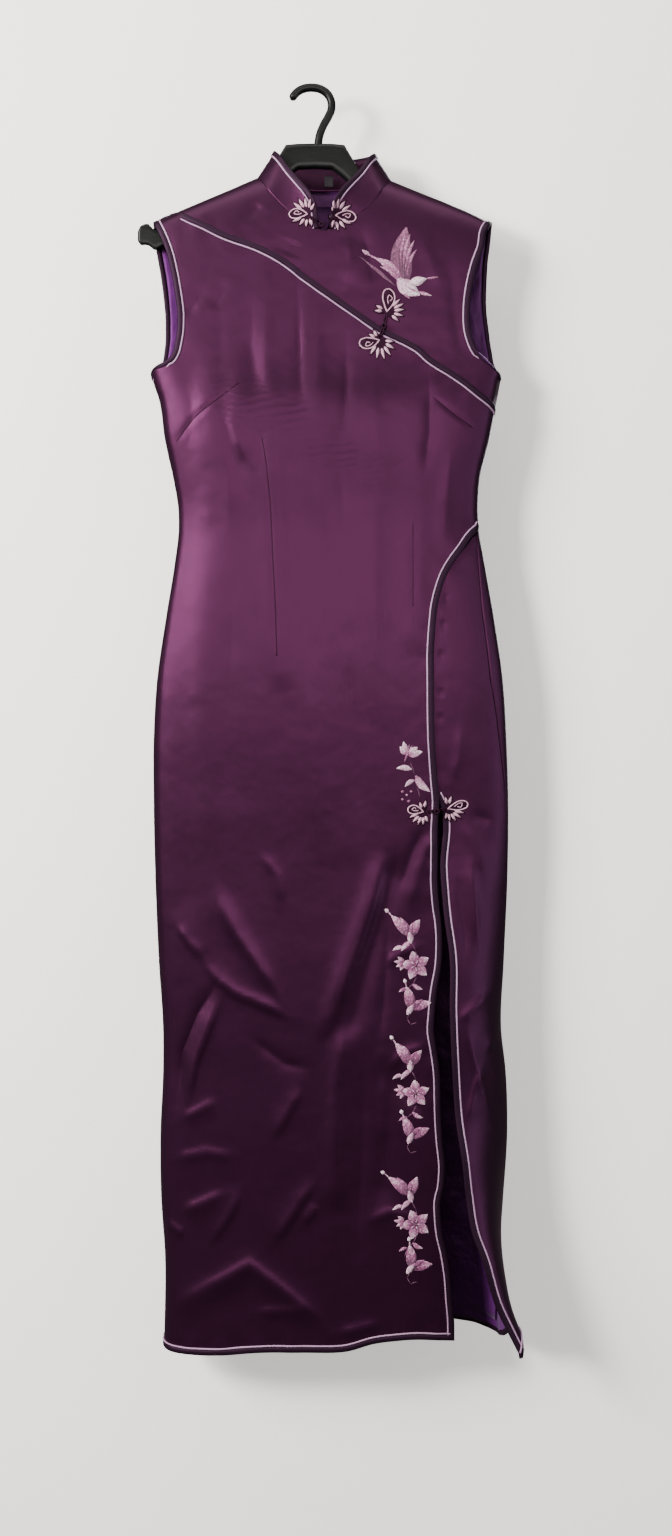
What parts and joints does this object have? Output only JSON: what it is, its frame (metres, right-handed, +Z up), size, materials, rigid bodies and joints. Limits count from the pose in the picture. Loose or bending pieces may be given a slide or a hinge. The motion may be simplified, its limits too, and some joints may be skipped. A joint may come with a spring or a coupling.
{
  "type": "maxi dress on a hanger",
  "caption": "Long sleeveless satin dress with a standing collar, slanted wrap opening, knotted fasteners and a side slit, hanging on a moulded plastic hanger.",
  "frame": {"origin": "the inside top of the hanger's hook, where a rail or nail bears", "axes": "+Z up along the dress, -Y out of the front of the dress, +X to the viewer's right"},
  "size_m": [0.4346, 0.1225, 1.4633],
  "materials": {
    "satin": "satin weave, aubergine purple",
    "lining": "plain weave lining, brighter purple",
    "binding": "bias-cut satin binding",
    "piping": "pale pink satin piping",
    "frog_cord": "stitched satin cord",
    "label": "woven tape, bare",
    "hanger_plastic": "black moulded plastic, half gloss"
  },
  "bodies": {
    "root": {"front_panel": "satin", "front_yoke": "satin", "side_front_panel": "satin", "back_panel": "satin", "collar": "satin", "back_lining": "lining", "wrap_edge_binding": "binding", "wrap_edge_piping": "piping", "front_edge_binding": "binding", "front_edge_piping": "piping", "back_edge_binding": "binding", "back_edge_piping": "piping", "armhole_left_binding": "binding", "armhole_left_piping": "piping", "armhole_right_binding": "binding", "armhole_right_piping": "piping", "collar_binding": "binding", "collar_piping": "piping", "frog_neck_left": "frog_cord", "frog_neck_right": "frog_cord", "frog_chest_upper": "frog_cord", "frog_chest_lower": "frog_cord", "frog_slit_left": "frog_cord", "frog_slit_right": "frog_cord", "knot_neck": "frog_cord", "knot_chest": "frog_cord", "knot_slit": "frog_cord", "neck_label": "label", "hanger": "hanger_plastic"}
  },
  "joints": []
}
